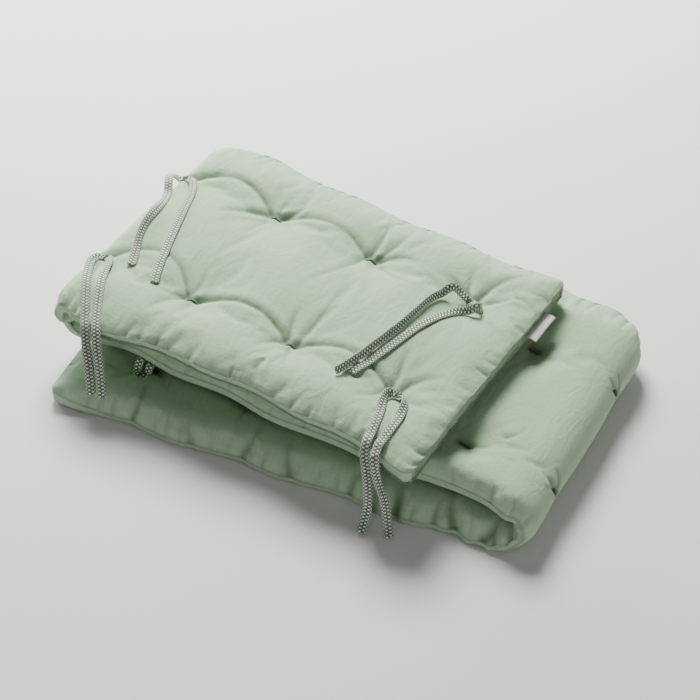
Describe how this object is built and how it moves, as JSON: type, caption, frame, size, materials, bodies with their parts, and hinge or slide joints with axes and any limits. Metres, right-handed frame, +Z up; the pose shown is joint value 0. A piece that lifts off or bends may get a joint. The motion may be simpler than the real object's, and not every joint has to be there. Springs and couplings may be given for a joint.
{
  "type": "crib bumper",
  "caption": "Long tufted cotton crib bumper folded in three layers, with braided tape ties along its sides and a blank tab label in its end seam.",
  "frame": {"origin": "middle of the folded pad's footprint, on the surface it lies on", "axes": "+X along the folded pad, towards its right-hand fold; +Y across it, towards its back edge; +Z up through the layers"},
  "size_m": [0.5527, 0.3637, 0.0992],
  "materials": {
    "cotton": "matte woven cotton, sage green",
    "braided_tape": "braided tape, sage green with off-white flecks",
    "label_weave": "off-white woven tab, blank"
  },
  "bodies": {
    "root": {"quilt": "cotton", "label": "label_weave", "tie_label_back": "braided_tape", "tie_label_front": "braided_tape", "tie_fold_back": "braided_tape", "tie_fold_front": "braided_tape", "tie_inner_front": "braided_tape"}
  },
  "joints": []
}
